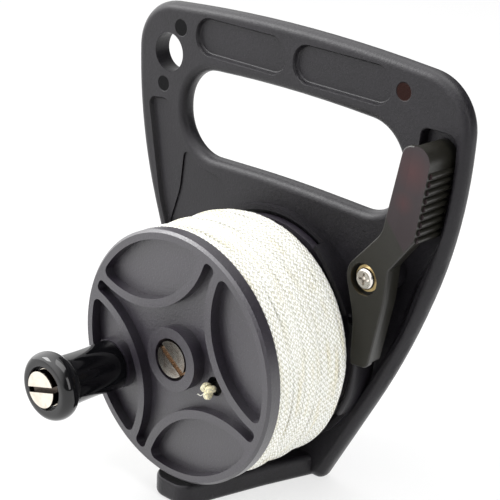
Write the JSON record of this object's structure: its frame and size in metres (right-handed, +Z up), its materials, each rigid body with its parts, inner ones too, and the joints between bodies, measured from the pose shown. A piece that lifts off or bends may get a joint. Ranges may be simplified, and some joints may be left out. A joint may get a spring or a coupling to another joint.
{
  "type": "dive reel",
  "caption": "Hand-held dive reel: plate frame with finger opening and foot, crank spool of white braided line, sprung thumb lever with brake shoe.",
  "frame": {"origin": "on the floor under the middle of the bounding box, which is under the spool axis, midway between the knob screw's head and the frame's back", "axes": "+X to the right seen from the crank, +Y along the spool axis from the crank knob to the frame's back, +Z up from the foot to the hand grip"},
  "size_m": [0.1496, 0.0882, 0.1592],
  "materials": {
    "frame_nylon": "fine-grained glass-filled nylon, charcoal black",
    "flange_nylon": "fine speckled satin nylon, dark charcoal",
    "lever_plastic": "semi-gloss moulded, dark brown grey",
    "knob_plastic": "polished black",
    "stainless": "turned and polished stainless steel",
    "spring_steel": "drawn spring wire",
    "brass": "turned brass",
    "washer_nylon": "natural nylon",
    "line_white": "braided polyester line, off-white",
    "shoe_rubber": "matt black rubber"
  },
  "bodies": {
    "frame": {"frame": "frame_nylon", "axle_screw": "stainless", "axle_washer": "stainless", "axle_sleeve": "stainless", "thrust_washer": "washer_nylon", "axle_nut": "stainless", "lever_screw": "stainless", "lever_washer": "brass", "lever_bush": "brass", "lever_insert": "brass", "lever_spring": "spring_steel"},
    "lever": {"thumb_lever": "lever_plastic", "brake_shoe": "shoe_rubber"},
    "spool": {"front_flange": "flange_nylon", "rear_flange": "flange_nylon", "flange_screws": "stainless", "line_core": "line_white", "line_turns": "line_white", "line_knot": "line_white", "knob_sleeve": "stainless", "knob_screw": "stainless", "knob_washer": "stainless", "knob_nut": "stainless"},
    "knob": {"crank_knob": "knob_plastic"}
  },
  "joints": [
    {"name": "spool_spin", "type": "hinge", "parent": "frame", "child": "spool", "pos_m": [0, 0, 0.0535], "axis": [0, 1, 0], "continuous": true},
    {"name": "knob_spin", "type": "hinge", "parent": "spool", "child": "knob", "pos_m": [-0.03079, -0.028, 0.04056], "axis": [0, 1, 0], "continuous": true},
    {"name": "lever_pivot", "type": "hinge", "parent": "frame", "child": "lever", "pos_m": [0.0464, 0.03025, 0.0863], "axis": [0, -1, 0], "range_deg": [0, 4], "stiffness_Nm_per_rad": 0.3, "springref_deg": -17.19}
  ]
}
